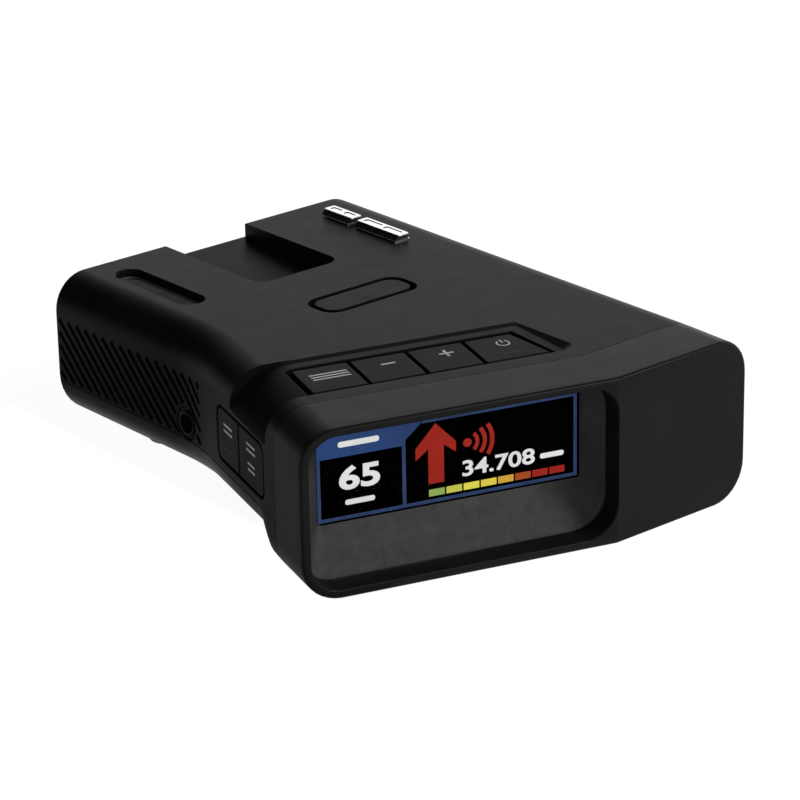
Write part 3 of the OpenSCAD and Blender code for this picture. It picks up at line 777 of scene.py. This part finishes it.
def key_marks(kind, u, y):
    """Printed sign on a key: lines, minus, plus or power."""
    if kind == "menu":
        return [rect(u - 3.7, u + 3.7, y + d - 0.21, y + d + 0.21) for d in (-1.05, 0, 1.05)]
    if kind == "volume_down":
        return [rect(u - 1.4, u + 1.4, y - 0.26, y + 0.26)]
    if kind == "volume_up":
        return [[(u + a, y + b) for a, b in (
            (-0.25, -1.45), (0.25, -1.45), (0.25, -0.25), (1.45, -0.25), (1.45, 0.25), (0.25, 0.25), (0.25, 1.45),
            (-0.25, 1.45), (-0.25, 0.25), (-1.45, 0.25), (-1.45, -0.25), (-0.25, -0.25))]]
    return [stroke(arc(u, y, 1.2, 125, 415, 20), 0.3), rect(u - 0.15, u + 0.15, y + 0.2, y + 1.6)]


def flat_marks(outlines, height, thick, place):
    plates = []
    for outline in outlines:
        n = len(outline)
        verts = [(p[0], p[1], h) for h in (height, height + thick) for p in outline]
        faces = [tuple(range(n))[::-1], tuple(range(n, 2 * n))]
        faces += [(k, (k + 1) % n, n + (k + 1) % n, n + k) for k in range(n)]
        plates.append(build("mark", verts, faces, place))
    return merged(plates)


for i, (kind, node, body) in enumerate(KEY_NAMES):
    left = KEY_EDGES[i]
    last = i == 3
    rear_right, front_right = (54.6, 58.0) if last else (left + 11.5, left + 11.5)
    corners = [(left + 0.33, -14.3), (front_right - 0.33, -14.3), (rear_right - 0.33, -3.2), (left + 0.33, -3.2)]
    cap = stack(corners, 0.5, crowned(KEY_FOOT, KEY_TOP, 0.22), VALLEY, steps=5)
    # the front edge is cut off at a slant
    slant = [(-13.7, KEY_TOP + 0.05), (-13.5, KEY_TOP + 1), (-16, KEY_TOP + 1), (-16, -1.6), (-14.4, -1.3)]
    boolean(cap, loft([[(u, y, z) for y, z in slant] for u in (left - 1, front_right + 1)], VALLEY))
    skirt = stack(rect(left + 1.5, left + 10, -15, -2.3), 0.3,
                  [(KEY_FOOT, 0.1), (KEY_FOOT + 0.1, 0), (-1.9, 0)], VALLEY)
    boolean(cap, skirt, "UNION")
    finish_piece(cap, kind + "_key_cap", body, KEYS, [node])
    u, y = KEY_MARKS[i]
    marks = flat_marks(key_marks(kind, u, y), KEY_TOP - 0.01, 0.03, VALLEY)
    finish_piece(marks, kind + "_key_mark", body, LEGEND)
light = flat_marks([rect(49.4, 53.4, -11.65, -11.2)], KEY_TOP - 0.01, 0.025, VALLEY)
finish_piece(light, "power_key_light", "power_key", SOCKET)

# ---- side keys: X is the distance behind the face, Y the height, Z points into the housing ----
SIDE_KEYS = [("mute", 18.0, 30.4, [1.8, 0.3, 0.3, 1.8]), ("mark", 30.4, 41.2, [0.3, 1.8, 1.8, 0.3])]
for kind, w0, w1, radii in SIDE_KEYS:
    corners = rect(w0 + 0.2, w1 - 0.2, 13.6, 23.9)
    levels = [(3.0, 0)] + [(0.35 - 0.3 * math.sin(math.pi / 8 * k), 0.3 * (1 - math.cos(math.pi / 8 * k)))
                           for k in range(5)]
    cap = stack(corners, radii, levels, FLARE)
    boolean(cap, stack(rect(w0 + 2, w1 - 2, 12.7, 24.8), 0.3, [(2.3, 0), (3.0, 0)], FLARE), "UNION")
    finish_piece(cap, kind + "_key_cap", kind + "_key", KEYS, [kind + "_button"])
    mid = (w0 + w1) / 2
    if kind == "mark":
        shapes = [rect(mid - 2.1, mid + 2.1, 19.7, 20.15), rect(mid - 2.1, mid + 2.1, 20.9, 21.35)]
    else:
        shapes = [rect(mid - 2.1, mid + 2.1, 20.3, 20.75), rect(mid - 2.1, mid + 2.1, 21.5, 21.95),
                  rect(mid - 1.7, mid + 1.7, 16.5, 16.95), rect(mid - 1.7, mid + 1.7, 17.7, 18.15)]
    finish_piece(flat_marks(shapes, 0.03, 0.04, FLARE), kind + "_key_mark", kind + "_key", LEGEND)
light = flat_marks([rect(34.1, 37.5, 16.2, 16.7)], 0.035, 0.03, FLARE)
finish_piece(light, "mark_key_light", "mark_key", SOCKET)

# ---- release key with its flange; the latch below it stays a CAD node ----
corners = around(RELEASE, RELEASE_CAP)
cap = stack(corners, RELEASE_R - 0.5, crowned(DECK - 2.9, DECK - 0.02, 0.2), steps=10)
flange = stack(shrink(corners, -1.45), RELEASE_R + 0.5,
               [(DECK - 3.5, 0.1), (DECK - 3.4, 0), (DECK - 2.5, 0)], steps=10)
boolean(cap, flange, "UNION")
finish_piece(cap, "release_key_cap", "mount_release", KEYS, ["release_button"])

# ---- release spring: a wound wire ----


def coil(centre, z0, z1, radius, wire, turns, name):
    steps, ring_n = turns * 28, 8
    rings = []
    for k in range(steps + 1):
        t = k / steps
        a = 2 * math.pi * turns * t
        # the first and last turns lie flat
        rise = min(max((t * turns - 0.7) / (turns - 1.4), 0), 1)
        z = z0 + wire + (z1 - z0 - 2 * wire) * rise
        out = Vector((math.cos(a), math.sin(a), 0))
        ring = []
        for j in range(ring_n):
            b = 2 * math.pi * j / ring_n
            ring.append(tuple(Vector((centre[0], centre[1], z)) + out * (radius + wire * math.cos(b))
                              + EZ * (wire * math.sin(b))))
        rings.append(ring)
    return loft(rings, name=name)


spring = coil(RELEASE, 17.6, 24.5, 2.2, 0.25, 6, "release_spring_coil")
finish_piece(spring, "release_spring_coil", "root", STEEL,
             ["release_spring"], sharp=80)
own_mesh(spring)

# ---- speaker grille: a rim with two families of crossed wires ----


def slot_reach(x, y, dx, dy, half_w, half_l):
    """Distance from a point to the edge of the slot's rounded outline, along a direction."""
    t = 0.0
    while t < 40:
        px, py = x + dx * t, y + dy * t
        over = max(abs(py) - (half_l - half_w), 0)
        if math.hypot(px, over) > half_w:
            return t
        t += 0.05
    return t


def grille():
    cx, cy = SLOT[0], (SLOT[1] + SLOT[2]) / 2
    half_w, half_l = SLOT[3] / 2 - 0.15, (SLOT[2] - SLOT[1]) / 2 - 0.15
    outline = rect(cx - half_w, cx + half_w, cy - half_l, cy + half_l)
    rings = []
    for height, by in ((30.0, 0), (31.5, 0), (31.6, 0.1), (31.6, 0.45), (31.5, 0.55), (30.0, 0.55)):
        ring = rounded(shrink(outline, by), half_w - 0.05 - by, 10)
        rings.append([(p.x, p.y, height) for p in ring])
    parts = [loft(rings, cyclic=True)]
    pitch, wire = 0.85, 0.15
    for family, lift in ((1, 0.0), (-1, 0.16)):
        count = int(2 * half_l / pitch) + 6
        for i in range(-count, count + 1):
            c = i * pitch
            # a wire crosses the slot's middle line at (0, c)
            if abs(c) > half_l - 0.6:
                continue
            dx, dy = 0.7071, 0.7071 * family
            a = slot_reach(0, c, dx, dy, half_w - 0.4, half_l - 0.4)
            b = slot_reach(0, c, -dx, -dy, half_w - 0.4, half_l - 0.4)
            rings = []
            for t in (-b, a):
                x, y = cx + dx * t, cy + c + dy * t
                rings.append([(x - dy * s, y + dx * s, 31.1 + lift + h)
                              for s, h in ((-wire, 0), (0, -wire), (wire, 0), (0, wire))])
            parts.append(loft(rings))
    return merged(parts)


finish_piece(grille(), "speaker_grille_mesh", "root", GRILLE, ["speaker_grille"])

# ---- headphone jack collar ----
collar = [(1.8, 0.7), (1.8, 0.12), (1.92, 0.0), (2.3, 0.0), (2.45, 0.1), (2.5, 0.45), (3.08, 0.45), (3.08, 0.7)]
finish_piece(lathe(collar, SIDE @ Matrix.Translation((JACK[0], JACK[1], X_LEFT - 0.36))), "headphone_jack_collar",
             "root", SOCKET)

# ---- trim badge: bright frames round dark inlays, in two lengths ----


def badge(y0, y1, ledge0, ledge1):
    x0, x1 = 31.1, 35.1
    base = stack(rect(x0, x1, ledge0, ledge1), 0.3, [(DECK + 0.0, 0), (DECK + 0.24, 0), (DECK + 0.32, 0.08)])
    # the side leans inwards from the ledge up to the top plate
    top_plate = stack(rect(x0 + 1.1, x1 - 0.12, y0 + 0.12, y1 - 0.12), 0.4, crowned(DECK + 1.1, DECK + 1.4, 0.12, 3))
    for share in (0.27, 0.73):
        span = (y1 - y0) / 2 - 1.6
        mid = y0 + (y1 - y0) * share
        boolean(top_plate, stack(rect(x0 + 1.8, x1 - 0.8, mid - span / 2, mid + span / 2), 0.4,
                                 [(DECK + 1.25, 0.2), (DECK + 1.4, 0), (DECK + 2, 0)]))
    lean = [(x0 + 0.35, DECK + 0.3), (x1 - 0.3, DECK + 0.3), (x1 - 0.3, DECK + 1.12), (x0 + 1.15, DECK + 1.12)]
    core = loft([[(x, y, z) for x, z in lean] for y in (y0 + 0.25, y1 - 0.25)])
    return [base, top_plate], core


bright, cores = [], []
for ends in ((41.6, 50.7, 41.6, 48.6), (26.8, 40.2, 26.8, 38.6)):
    chrome_parts, core = badge(*ends)
    bright += chrome_parts
    cores.append(core)
finish_piece(merged(bright), "trim_badge_frame", "root", CHROME, ["trim_badge"])
finish_piece(merged(cores), "trim_badge_inlay", "root", CHROME_DARK)

# ---- feet ----
feet = []
for x, y in FEET:
    levels = [(0.0, 0.5), (0.12, 0.22), (0.35, 0.05), (0.6, 0), (BODY_Z - 0.02, 0)]
    feet.append(disc(4.5, levels, Matrix.Translation((x, y, 0))))
    feet.append(disc(1.8, [(BODY_Z, 0), (BODY_Z + 1.8, 0)], Matrix.Translation((x, y, 0))))
finish_piece(merged(feet), "rear_feet_pads", "root", FEET_RUBBER, ["rear_feet"])

# ---- CAD nodes that stay, each with its own finish ----
KEPT = {
    "display_lens": LENS, "display_module": PANEL, "display_bracket": INNER, "display_ribbon": FLEX,
    "deck_key_pad": RUBBER, "deck_key_board": BOARD, "side_key_board": BOARD, "release_latch": INNER,
    "latch_bracket": INNER, "speaker": SPEAKER, "speaker_gasket": RUBBER, "audio_jack": SOCKET, "power_jack": SOCKET,
    "usb_port": STEEL, "main_board": BOARD, "rf_shield": SHIELD, "front_horn": HORN, "rear_horn": HORN,
    "laser_lens": WINDOW, "laser_sensor": INNER, "gps_antenna": CERAMIC, "rating_label": LABEL,
    "cover_screws": SCREW, "bracket_screws": STEEL,
}
for name, look in KEPT.items():
    node = NODES[name]
    node.data.materials.clear()
    node.data.materials.append(look)

# ---- floor, light and camera ----
floor_mesh = bpy.data.meshes.new("floor")
floor_mesh.from_pydata([(-6, -6, 0), (6, -6, 0), (6, 6, 0), (-6, 6, 0)], [], [(0, 1, 2, 3)])
floor = bpy.data.objects.new("floor", floor_mesh)
bpy.context.scene.collection.objects.link(floor)
pale = bpy.data.materials.new("pale_floor")
pale.use_nodes = True
shader = pale.node_tree.nodes["Principled BSDF"]
shader.inputs["Base Color"].default_value = (0.12, 0.12, 0.12, 1)
shader.inputs["Roughness"].default_value = 1.0
shader.inputs["Specular IOR Level"].default_value = 0.0
shader.inputs["Emission Color"].default_value = (1, 1, 1, 1)
shader.inputs["Emission Strength"].default_value = 0.95
floor_mesh.materials.append(pale)

# painted shade: a dark card under the object stands in for the shadow where a real floor gets no light; it ends out
# of the camera's sight
rear_body = [(X_LEFT + 12, -14), (X_RIGHT - 12, -14), (X_RIGHT - 12, Y_REAR - 6), (X_LEFT + 12, Y_REAR - 6)]
head_plan = [CORNER + EU * 9 + EW * 3, Vector((CREASE_X + 1, Y_FRONT + 3, 0)), Vector((X_RIGHT - 9, Y_FRONT + 3, 0)),
             Vector((X_RIGHT - 12, -14, 0)), CORNER + EU * 10 + EW * 26]
card = merged([loft([[(x, y, z) for x, y in plan] for z in (0.01, 0.02)]) for plan in (
    rear_body, [(p.x, p.y) for p in head_plan])])
card.name = "painted_shade_card"
card.data.transform(Matrix.Scale(MM, 4))
# near-black colour of the painted shade under the object
card.data.materials.append(surface("painted_shade_black", 0.02, 0.03, Specular_IOR_Level=0.0))

# painted shade, hidden from the camera's rays only: a dim emitting card on the floor beside the left wall, where the
# pale floor would light the wall too strongly
shade_mesh = bpy.data.meshes.new("side_shade")
shade_plan = rect(-0.12, -0.03, -0.05, 0.09)
shade_mesh.from_pydata([(x, y, 0.0004) for x, y in shade_plan], [], [(0, 1, 2, 3)])
shade = bpy.data.objects.new("side_shade", shade_mesh)
bpy.context.scene.collection.objects.link(shade)
dim = surface("shade_grey", 0.04, 0.05, Specular_IOR_Level=0.0)
dim.node_tree.nodes["Principled BSDF"].inputs["Emission Color"].default_value = (1, 1, 1, 1)
dim.node_tree.nodes["Principled BSDF"].inputs["Emission Strength"].default_value = 0.38
shade_mesh.materials.append(dim)
shade.visible_camera = False

world = bpy.data.worlds.new("studio")
bpy.context.scene.world = world
world.use_nodes = True
tree = world.node_tree
coords = tree.nodes.new("ShaderNodeTexCoord")


def facing(direction, edge, full):
    """1 where the sky lies within "full" degrees of a direction, 0 beyond "edge" degrees."""
    dot = tree.nodes.new("ShaderNodeVectorMath")
    dot.operation = "DOT_PRODUCT"
    dot.inputs[1].default_value = Vector(direction).normalized()
    tree.links.new(coords.outputs["Generated"], dot.inputs[0])
    span = tree.nodes.new("ShaderNodeMapRange")
    span.interpolation_type = "SMOOTHSTEP"
    span.inputs["From Min"].default_value = math.cos(math.radians(edge))
    span.inputs["From Max"].default_value = math.cos(math.radians(full))
    tree.links.new(dot.outputs["Value"], span.inputs["Value"])
    return span.outputs["Result"]


def combine(a, b, operation):
    n = tree.nodes.new("ShaderNodeMath")
    n.operation = operation
    for socket, value in zip(n.inputs, (a, b)):
        if isinstance(value, float):
            socket.default_value = value
        else:
            tree.links.new(value, socket)
    return n.outputs[0]


split = tree.nodes.new("ShaderNodeSeparateXYZ")
ramp = tree.nodes.new("ShaderNodeValToRGB")
stops = ((0.0, SKY), (0.50, SKY), (0.63, 0.02), (1.0, 0.02))
while len(ramp.color_ramp.elements) < len(stops):
    ramp.color_ramp.elements.new(0.5)
for element, (position, value) in zip(ramp.color_ramp.elements, stops):
    element.position, element.color = position, (value, value, value, 1)
tree.links.new(coords.outputs["Generated"], split.inputs["Vector"])
tree.links.new(split.outputs["Z"], ramp.inputs["Fac"])
flag = combine(1.0, facing((-0.66, 0.72, 0.2), 74, 40), "SUBTRACT")
light = combine(ramp.outputs["Color"], flag, "MULTIPLY")
light = combine(light, combine(facing((0.13, -0.83, 0.62), 40, 10), FRONT_BOX, "MULTIPLY"), "ADD")
tree.links.new(light, tree.nodes["Background"].inputs["Color"])

soft = bpy.data.lights.new("front_softbox", "AREA")
soft.shape, soft.size, soft.energy = "DISK", 0.3, 5.5
softbox = bpy.data.objects.new("front_softbox", soft)
softbox_at = Vector((0.35, -0.6, 0.55))
softbox.matrix_world = Matrix.Translation(softbox_at) @ softbox_at.to_track_quat("Z", "Y").to_matrix().to_4x4()
bpy.context.scene.collection.objects.link(softbox)

azimuth, elevation, roll = -0.699, 0.381, -0.019
back = Vector((math.sin(azimuth) * math.cos(elevation), -math.cos(azimuth) * math.cos(elevation),
               math.sin(elevation)))
right = Vector((math.cos(azimuth), math.sin(azimuth), 0.0))
up = back.cross(right)
right, up = right * math.cos(roll) + up * math.sin(roll), up * math.cos(roll) - right * math.sin(roll)
camera_data = bpy.data.cameras.new("camera")
camera_data.lens, camera_data.sensor_width = 155.06, 36.0
camera_data.clip_start, camera_data.clip_end = 0.01, 50.0
camera = bpy.data.objects.new("camera", camera_data)
camera.matrix_world = axes(Vector((-388.8, -473.4, 260.8)) * MM, right, up, back)
bpy.context.scene.collection.objects.link(camera)
bpy.context.scene.camera = camera
bpy.context.scene.view_settings.view_transform = "Standard"
bpy.context.scene.view_settings.look = "None"
